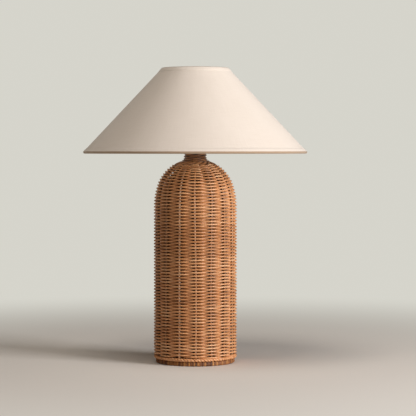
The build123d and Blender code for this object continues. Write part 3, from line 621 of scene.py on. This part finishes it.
def woven_piece(name, low, high, replaced):
    """The rows between two places up the line, as one object of many reeds."""
    strands = []
    for lead, side in ((0.0, 1), (1.0, -1)):
        joint = stake_behind(low, lead, side)
        end = stake_behind(high, lead, side)
        while joint < end:
            stop = joint + 2 * round(reed_length_in_stakes * random.uniform(*reed_length_shares))
            stop = end if stop > end - stake_count else stop
            path, outward, radius, inside = weaver(joint - splice / 2, stop, lead, side)
            strands.append((path, outward, radius, random.uniform(*reed_tones), inside))
            joint = stop
    piece = strand_piece(name, strands, reed_sides, 4)
    piece.data.materials.append(reed_finish)
    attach(piece, "root")
    if replaced:
        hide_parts(*replaced)


wall_share = shoulder_start / 3
woven_piece("woven_wall_lower", first_up, wall_share, ["wall_weave"])
woven_piece("woven_wall_middle", wall_share, 2 * wall_share, [])
woven_piece("woven_wall_upper", 2 * wall_share, shoulder_start, [])
woven_piece("woven_dome", shoulder_start, row_end, ["dome_weave"])

# ------------------------------------------------------------------------------------ collar
# Where the dome draws in too far to weave, bundles of three reeds are laid over the stakes on the
# slant, each bundle coming out from under the one before it and going in under the next.

roll_count = 16
roll_reeds = 3
roll_reed_r = 0.0019
roll_steps = 30
roll_sweep = 2.1  # stake spaces that a bundle leans over
roll_lead = 0.7  # stake spaces that it starts before its stake
roll_reed_spacing = 0.21  # stake spaces between its reeds
roll_low = collar_start + 0.0045
roll_high = neck_start + 0.0025
roll_tones = (0.0, 0.6)
roll_end_depth = 0.4 * roll_reed_r  # how far in from the stakes' faces the middle of its ends lies
roll_arch = 0.7  # 1 is an even arch over the stakes; less is flatter on top
roll_ease = 0.15
roll_stagger = 0.08
roll_side_drop = 0.3  # reed radii that its outer two reeds lie lower
roll_shade = 0.25
roll_end_shade = 0.45

roll_strands = []
for roll in range(roll_count):
    for reed in range(roll_reeds):
        share = np.linspace(0.0, 1.0, roll_steps)
        beside = (reed - (roll_reeds - 1) / 2) * roll_reed_spacing
        stake = roll - roll_lead + beside + roll_sweep * share
        climb = roll_stagger * reed / roll_reeds + (1 - roll_stagger) * eased(share, -roll_ease, 1 + roll_ease)
        up = roll_low + (roll_high - roll_low) * climb
        lift = np.sin(math.pi * share) ** roll_arch
        highest = weave_reach - stake_r - roll_reed_r * (1.0 + roll_side_drop * abs(reed - 1))
        out = stake_r - roll_end_depth + highest * lift
        path, outward = on_column(math.tau * stake / stake_count - math.pi / 2, up, out)
        # Painted shade: a little on every collar reed and more towards the ends that go in under the next
        # bundle.
        inside = roll_shade + roll_end_shade * (1 - lift)
        roll_strands.append((path, outward, roll_reed_r, random.uniform(*roll_tones), inside))
collar = strand_piece("plaited_collar", roll_strands, reed_sides)
collar.data.materials.append(reed_finish)
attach(collar, "root")
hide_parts("collar_band")

# ------------------------------------------------------------------------------------ woven neck
# The same reed is woven close round the eight pairs of stakes, up to the metal cap.

pair_count = stake_count // 2
neck_stand_off = 0.72
neck_wave = 0.28
neck_reed_swell = 1.08
neck_tone = 0.12
neck_drop = 0.001
neck_shade = 0.35
neck_inside_shade = 0.3
neck_strands = []
for lead, side in ((0.0, 1), (1.0, -1)):
    turns = (line_end - neck_start - reed_r - row_pitch * lead) / (2 * row_pitch)
    pair = np.linspace(0.0, turns * pair_count, int(turns * pair_count * steps_per_stake))
    up = neck_start - neck_drop + row_pitch * (2 * pair / pair_count + lead)
    wave = np.cos(math.pi * pair)
    out = (stake_r + reed_r) * (neck_stand_off + neck_wave * side * wave)
    path, outward = on_column(math.tau * pair / pair_count - math.pi / 2, up, out)
    # Painted shade: a base amount, and more where the reed passes behind a pair of stakes.
    inside = neck_shade + neck_inside_shade * (1 - side * wave)
    neck_strands.append((path, outward, reed_r * neck_reed_swell, neck_tone * lead, inside))
neck = strand_piece("woven_neck", neck_strands, reed_sides)
neck.data.materials.append(reed_finish)
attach(neck, "root")
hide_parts("neck_weave")

# ------------------------------------------------------------------------------------ border
# The stakes' lower ends are worked into a rope of three strands that rolls round the foot.

border_low, border_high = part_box("bottom_border")
border_inner_r = 0.0744
border_strand_r = 0.0023
border_strand_count = 3
border_twists = 26
border_steps_per_twist = 18
border_tone = 0.45
border_tone_step = 0.15
border_r = (border_high.x + border_inner_r) / 2
border_z = (border_low.z + border_high.z) / 2
border_half_width = border_high.x - border_r - border_strand_r
border_half_height = (border_high.z - border_low.z) / 2 - border_strand_r
border_strands = []
for strand in range(border_strand_count):
    turn = np.linspace(0.0, math.tau, border_twists * border_steps_per_twist + 1)
    twist = border_twists * turn + math.tau * strand / border_strand_count
    radius = border_r + border_half_width * np.cos(twist)
    height = border_z + border_half_height * np.sin(twist)
    path = np.stack([radius * np.sin(turn), radius * np.cos(turn), height], axis=-1)
    outward = np.stack([np.cos(twist) * np.sin(turn), np.cos(twist) * np.cos(turn), np.sin(twist)], axis=-1)
    tone = border_tone + border_tone_step * strand
    border_strands.append((path, outward, border_strand_r, tone, 0.0))
border = strand_piece("rope_border", border_strands, reed_sides)
border.data.materials.append(reed_finish)
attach(border, "root")
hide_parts("bottom_border")

# ------------------------------------------------------------------------------------ foot ring
# A hoop under the border, bound all round with flat cane peel. Each turn of the binding is a
# little domed and takes the stain differently.

foot_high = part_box("foot_ring")[1]
foot_inner_r = 0.070
foot_round = 0.0025
foot_round_steps = 5
binding_turns = 150
binding_steps = 8
binding_groove = 0.0007
binding_widths = (0.45, 1.5)
binding_tones = (-0.35, 1.3)
binding_edge_shade = 0.7


def rounded_outline(inner, outer, low, high, corner, steps):
    """Corners of a rounded rectangle, anticlockwise in radius and height, with their normals."""
    spots = []
    for number, (r, z) in enumerate(((outer - corner, high - corner), (inner + corner, high - corner),
                                     (inner + corner, low + corner), (outer - corner, low + corner))):
        for step in range(steps + 1):
            turn = math.pi / 2 * (number + step / steps)
            out_r, out_z = math.cos(turn), math.sin(turn)
            spots.append((r + corner * out_r, z + corner * out_z, out_r, out_z))
    return spots


def swept(radius, turn, height):
    """Corners at these radii and heights, a ring of them for each angle round from the front."""
    across, ahead = np.sin(turn)[:, None], np.cos(turn)[:, None]
    return np.stack([radius * across, -radius * ahead, height + 0 * radius], axis=-1)


outline = np.array(
    rounded_outline(foot_inner_r, foot_high.x, 0.0, foot_high.z, foot_round, foot_round_steps))
profile = len(outline)
ring_steps = binding_turns * binding_steps
widths = random.uniform(*binding_widths, binding_turns)
reached = np.concatenate([[0.0], np.cumsum(np.repeat(widths, binding_steps))[:-1]])
turn = reached * math.tau / widths.sum() / binding_steps
across = (np.arange(ring_steps) % binding_steps + 0.5) / binding_steps * 2 - 1
sunk = binding_groove * (1 - np.sqrt(1 - across**2))
radius = outline[None, :, 0] - sunk[:, None] * outline[None, :, 2]
height = outline[None, :, 1] - sunk[:, None] * outline[None, :, 3]
binding_tone = random.uniform(*binding_tones, binding_turns)
spots = spread(np.arange(ring_steps + 1), np.arange(profile + 1))
# The inside value is painted shade towards the edges of each binding turn, in the grooves between turns.
foot = made_piece(
    "bound_foot", swept(radius, turn, height), skin(ring_steps, profile, closed=True).tolist(),
    {"OFBake": spots / [ring_steps, profile], "reed_map": spots[:, ::-1] * [0.001, 1 / binding_steps]},
    {"tone": np.repeat(np.repeat(binding_tone, binding_steps), profile),
     "inside": np.repeat(binding_edge_shade * across**4, profile)})
foot.data.materials.append(cane_finish(
    "foot_binding", dark=(0.07, 0.02, 0.005), middle=(0.28, 0.092, 0.019), light=(0.56, 0.26, 0.065),
    roughness=0.6, gloss=0.0))
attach(foot, "root")
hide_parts("foot_ring")

# ------------------------------------------------------------------------------------ neck fittings
# A turned beech plug fills the neck, a spun cap in dark bronze covers its end, and a rubber bush
# lines the cable's hole low in the back of the wall.

beech_finish = grained_finish(
    "turned_beech", figure=(12.0, 5.0, 0.6), dark=(0.30, 0.16, 0.08), light=(0.48, 0.30, 0.16),
    rough=(0.55, 0.55), depth=0.0001, stretch=(30.0, 30.0, 3.0))
dress(beech_finish, "neck_plug")

bronze_finish = grained_finish(
    "dark_bronze", figure=(130.0, 6.0, 0.65), dark=(0.06, 0.035, 0.02), light=(0.20, 0.12, 0.06),
    rough=(0.3, 0.5), depth=0.00005, metallic=1.0, reach=(0.3, 0.75))
dress(bronze_finish, "neck_cap")

rubber_finish = grained_finish(
    "black_rubber", figure=(500.0, 4.0, 0.5), dark=(0.012, 0.012, 0.012), light=(0.028, 0.027, 0.026),
    rough=(0.8, 0.8), depth=0.0001)
dress(rubber_finish, "cable_bush", "friction_washer")

# ------------------------------------------------------------------------------------ lampholder
# Black moulded cap and shell, a white ceramic insert, brass screw shell, contact and terminals,
# and a polished black bar that pushes through from side to side to switch the lamp.

thermoset_grain = (700.0, 3.0, 0.5)
thermoset_dark = (0.016, 0.016, 0.017)
thermoset_light = (0.026, 0.026, 0.027)

holder_finish = grained_finish(
    "black_thermoset", thermoset_grain, thermoset_dark, thermoset_light, rough=(0.3, 0.48), depth=0.00004)
dress(holder_finish, "holder_cap", "retaining_ring")

holder_thread_pitch = 0.002
holder_thread_depth = 0.0007
shell_finish = grained_finish(
    "black_thermoset_threaded", thermoset_grain, thermoset_dark, thermoset_light, rough=(0.4, 0.4))
raised_by(shell_finish.node_tree, shader_of(shell_finish),
          bands(shell_finish.node_tree, "Z", holder_thread_pitch), holder_thread_depth)
dress(shell_finish, "holder_shell")

ceramic_finish = grained_finish(
    "white_steatite", figure=(380.0, 5.0, 0.6), dark=(0.66, 0.64, 0.58), light=(0.80, 0.78, 0.73),
    rough=(0.4, 0.6), depth=0.00006)
dress(ceramic_finish, "holder_insert")

brass_finish = grained_finish(
    "plain_brass", figure=(160.0, 5.0, 0.6), dark=(0.50, 0.34, 0.13), light=(0.75, 0.55, 0.26),
    rough=(0.22, 0.42), depth=0.00003, metallic=1.0)
dress(brass_finish, "terminal_screws", "centre_contact", "screw_shell", "bulb_contact")

bar_finish = grained_finish(
    "polished_black_bar", figure=(60.0, 4.0, 0.5), dark=(0.012, 0.012, 0.012), light=(0.02, 0.02, 0.02),
    rough=(0.12, 0.3), stretch=(8.0, 1.0, 1.0))
dress(bar_finish, "switch_bar")

# ------------------------------------------------------------------------------------ bulb
# A round-topped opal glass bulb on a rolled aluminium screw cap, with a black glass insulator.

opal_finish = grained_finish(
    "opal_glass", figure=(40.0, 3.0, 0.5), dark=(0.80, 0.79, 0.75), light=(0.86, 0.85, 0.82),
    rough=(0.15, 0.25))
shader_of(opal_finish).inputs["Coat Weight"].default_value = 0.6
shader_of(opal_finish).inputs["Coat Roughness"].default_value = 0.05
dress(opal_finish, "bulb_glass")

bulb_thread_pitch = 0.00363
aluminium_finish = threaded_metal(
    "rolled_aluminium", bulb_thread_pitch, (0.42, 0.42, 0.42), (0.70, 0.70, 0.69),
    roughness=0.35, depth=0.0009)
dress(aluminium_finish, "bulb_cap")

vitrite_finish = grained_finish(
    "black_vitrite", figure=(200.0, 3.0, 0.5), dark=(0.01, 0.01, 0.013), light=(0.03, 0.03, 0.034),
    rough=(0.1, 0.25))
dress(vitrite_finish, "bulb_insulator")

# ------------------------------------------------------------------------------------ shade wires and lining
# Two wire rings, three arms and a flat fitter ring are welded and powder coated off-white. The
# stiff lining is a white laminate with a faint sheen.

coat_finish = grained_finish(
    "white_powder_coat", figure=(1100.0, 2.0, 0.5), dark=(0.70, 0.68, 0.63), light=(0.78, 0.76, 0.71),
    rough=(0.4, 0.6), depth=0.00008)
dress(coat_finish, "bottom_wire_ring", "top_wire_ring", "fitter_arms", "fitter_ring")

lining_finish = grained_finish(
    "laminated_lining", figure=(55.0, 6.0, 0.6), dark=(0.80, 0.77, 0.70), light=(0.86, 0.84, 0.78),
    rough=(0.38, 0.55))
raised_by(lining_finish.node_tree, shader_of(lining_finish),
          grain(lining_finish.node_tree, place_on(lining_finish.node_tree), 900.0, 2.0), 0.00004)
dress(lining_finish, "shade_lining")

# ------------------------------------------------------------------------------------ linen cover and hems
# Natural linen is bonded to the lining as one sheet, closed by an overlap down the back. A folded
# strip of the same cloth is glued round each wire ring, over the linen outside and back inside.

shade_wire_r = 0.0015
low_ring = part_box("bottom_wire_ring")
high_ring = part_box("top_wire_ring")
low_r = low_ring[1].x - shade_wire_r
low_z = (low_ring[0].z + low_ring[1].z) / 2
high_r = high_ring[1].x - shade_wire_r
high_z = (high_ring[0].z + high_ring[1].z) / 2
shade_slant = math.hypot(low_r - high_r, high_z - low_z)
shade_turn = math.atan2(low_r - high_r, high_z - low_z)
linen_inside = 0.0025
linen_thickness = 0.0006
linen_outside = linen_inside + linen_thickness
linen_steps = 40
lap_angle = 0.075  # that the sheet's ends overlap by, down the back
lap_rise_angle = 0.03
lap_height = linen_thickness + 0.00012
end_zone = 0.12  # the angle at each end of the sheet that has its own, closer rings
end_zone_rings = 12
hem_width = 0.009
hem_thickness = 0.0006
hem_clearance = 0.00005
fold_steps = 14
round_steps = 360


def on_shade(along, out):
    """Radius and height of a spot up the shade's side from its lower ring, and out from that line."""
    return (low_r - along * math.sin(shade_turn) + out * math.cos(shade_turn),
            low_z + along * math.cos(shade_turn) + out * math.sin(shade_turn))


def distance_round(outline):
    """How far round a closed outline each spot lies, and last of all the whole way round."""
    steps = np.linalg.norm(np.roll(outline, -1, axis=0) - outline, axis=1)
    return np.concatenate([[0.0], np.cumsum(steps)])


def linen_waver(turn):
    """How far the cover stands out of true, by angle round from the front."""
    return 0.00008 * (np.sin(3 * turn + 1.0) + np.sin(7 * turn) + 0.5 * np.sin(19 * turn + 2.0))


def hem_waver(turn):
    return 0.00006 * (np.sin(11 * turn) + np.sin(31 * turn + 1.0))


def lap_rise(turn):
    """How far a hem stands up over the lap, by angle round from the front."""
    beside = np.abs(turn % math.tau - math.pi)
    return lap_height * (1 - eased(beside, lap_angle / 2, lap_angle / 2 + lap_rise_angle))


thread_pitch = 0.00062
thread_relief = 0.00012
thread_share = 0.35
flax_dark = (0.69, 0.594, 0.508)
flax_light = (0.785, 0.695, 0.614)
# Painted shade: a warm brown multiplied into the rolled fold of each hem, for the fold's shaded edge.
fold_shade_tint = (0.50, 0.39, 0.29)
linen_finish, tree, shader = new_finish("natural_linen", 0.85)
slub_across = grain(tree, place_on(tree, (22.0, 1500.0, 1.0), "cloth_map"), 1.0, 3.0, 0.6)
slub_up = grain(tree, place_on(tree, (1500.0, 22.0, 1.0), "cloth_map"), 1.0, 3.0, 0.6)
cloudy = grain(tree, place_on(tree, (14.0, 14.0, 1.0), "cloth_map"), 1.0, 4.0, 0.6)
threads = sum_of(tree, sum_of(tree, slub_across, slub_up), cloudy, 0.5)
thread_tone = tree.nodes.new("ShaderNodeMath")
thread_tone.operation = "MULTIPLY"
thread_tone.inputs[1].default_value = 0.55
tree.links.new(threads, thread_tone.inputs[0])
flax = between(tree, thread_tone.outputs["Value"], [(0.45, flax_dark), (0.95, flax_light)])
# The fold's value multiplies the painted shade tint into the hems' rolled folds.
painted_fold_shade = between(tree, corner_value(tree, "fold_shade"), [(0.0, plain), (1.0, fold_shade_tint)])
tree.links.new(tinted(tree, flax, painted_fold_shade), shader.inputs["Base Color"])
warp = bands(tree, "X", thread_pitch, "cloth_map")
weft = bands(tree, "Y", thread_pitch, "cloth_map")
cloth_height = sum_of(tree, sum_of(tree, threads, warp, thread_share), weft, thread_share)
raised_by(tree, shader, cloth_height, thread_relief)
shader.inputs["Sheen Weight"].default_value = 0.25
shader.inputs["Sheen Roughness"].default_value = 0.5


def cloth_strip(name, start, end):
    """The cover's sheet from one end to the other, with the last stretch lying over the first."""
    turn = np.concatenate([
        np.linspace(start, start + end_zone, end_zone_rings)[:-1],
        np.linspace(start + end_zone, end - end_zone, round_steps),
        np.linspace(end - end_zone, end, end_zone_rings)[1:]])
    lift = lap_height * eased(turn, end - lap_angle - lap_rise_angle, end - lap_angle)
    heights = np.linspace(0.0, shade_slant, linen_steps)
    outer = [on_shade(along, linen_outside) for along in heights]
    inner = [on_shade(along, linen_inside) for along in heights]
    outline = np.array(outer + inner[::-1])
    count = len(outline)
    radius = outline[None, :, 0] + (linen_waver(turn) + lift)[:, None]
    faces = skin(len(turn), count, closed=False).tolist()
    last = (len(turn) - 1) * count
    for step in range(linen_steps - 1):
        across = (step, step + 1, count - 2 - step, count - 1 - step)
        faces.append(across)
        faces.append([last + corner for corner in across[::-1]])
    around = distance_round(outline)
    spots = spread(turn, around)
    end_spots = np.zeros((8 * (linen_steps - 1), 2))
    return made_piece(
        name, swept(radius, turn, outline[None, :, 1]), faces,
        {"OFBake": np.concatenate([(spots - [start, 0.0]) / [end - start, around[-1]], end_spots]),
         "cloth_map": np.concatenate([spots * [low_r, 1.0], end_spots])},
        {"fold_shade": np.zeros(len(turn) * count)})


linen = cloth_strip("linen_cover", math.pi - lap_angle / 2, math.pi + lap_angle / 2 + math.tau)
linen.data.materials.append(linen_finish)
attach(linen, "shade")
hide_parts("shade_linen")

hem_outside = linen_outside + hem_clearance
hem_inside = -(shade_wire_r + hem_clearance)
fold_r = (hem_outside - hem_inside) / 2
fold_middle = (hem_outside + hem_inside) / 2


def hem_outline(fold_at, leg_to):
    """Closed outline of a hem folded round the wire, with the free edges rounded off.

    With it come the share by which each spot gives way to the lap, and the spots round the fold that get
    painted shade.
    """
    away = 1 if leg_to < fold_at else -1
    outer = []
    inner = []
    for step in range(fold_steps + 1):
        turn = math.pi * step / fold_steps
        for spots, r in ((outer, fold_r + hem_thickness), (inner, fold_r)):
            spots.append(on_shade(fold_at + away * r * math.sin(turn), fold_middle + r * math.cos(turn)))
    leg_end = leg_to + away * hem_thickness * 0.35
    outside = [
        on_shade(fold_at + (leg_to - fold_at) * 0.6, hem_outside + hem_thickness),
        on_shade(leg_end, hem_outside + hem_thickness * 0.4),
        on_shade(leg_to, hem_outside + hem_thickness * 0.1),
    ]
    inside = [
        on_shade(leg_to, hem_inside - hem_thickness * 0.1),
        on_shade(leg_to, hem_inside - hem_thickness * 0.6),
        on_shade(leg_end, hem_inside - hem_thickness),
    ]
    loop = inside + outer[::-1] + outside + inner
    fold_share = [0.5 - 0.5 * math.cos(math.pi * step / fold_steps) for step in range(fold_steps + 1)]
    shares = [0.0] * len(inside) + fold_share + [1.0] * len(outside) + fold_share[::-1]
    shaded_fold_spots = list(range(len(inside), len(inside) + fold_steps))
    if away == 1:
        loop, shares, shaded_fold_spots = loop[::-1], shares[::-1], [len(loop) - 1 - spot for spot in shaded_fold_spots]
    return loop, shares, shaded_fold_spots


def turned_hem(name, fold_at, leg_to):
    """A hem all the way round a wire ring, raised where the linen's lap lies under it."""
    loop, shares, shaded_fold_spots = hem_outline(fold_at, leg_to)
    outline = np.array(loop)
    count = len(outline)
    turn = np.arange(round_steps) * math.tau / round_steps
    radius = outline[None, :, 0] + hem_waver(turn)[:, None]
    radius = radius + lap_rise(turn)[:, None] * np.array(shares)[None, :]
    around = distance_round(outline)
    spots = spread(np.arange(round_steps + 1), around)
    cloth_width = math.tau * on_shade(fold_at, 0.0)[0]
    # Marks the fold's outer face for painted shade.
    fold_shade = np.zeros((round_steps, count))
    fold_shade[:, shaded_fold_spots] = 1.0
    return made_piece(
        name, swept(radius, turn, outline[None, :, 1]), skin(round_steps, count, closed=True).tolist(),
        {"OFBake": spots / [round_steps, around[-1]], "cloth_map": spots * [cloth_width / round_steps, 1.0]},
        {"fold_shade": fold_shade})


for name, fold_at, leg_to in (
    ("bottom_hem", 0.0, hem_width),
    ("top_hem", shade_slant, shade_slant - hem_width),
):
    hem = turned_hem("folded_" + name, fold_at, leg_to)
    hem.data.materials.append(linen_finish)
    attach(hem, "shade")
    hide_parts(name)
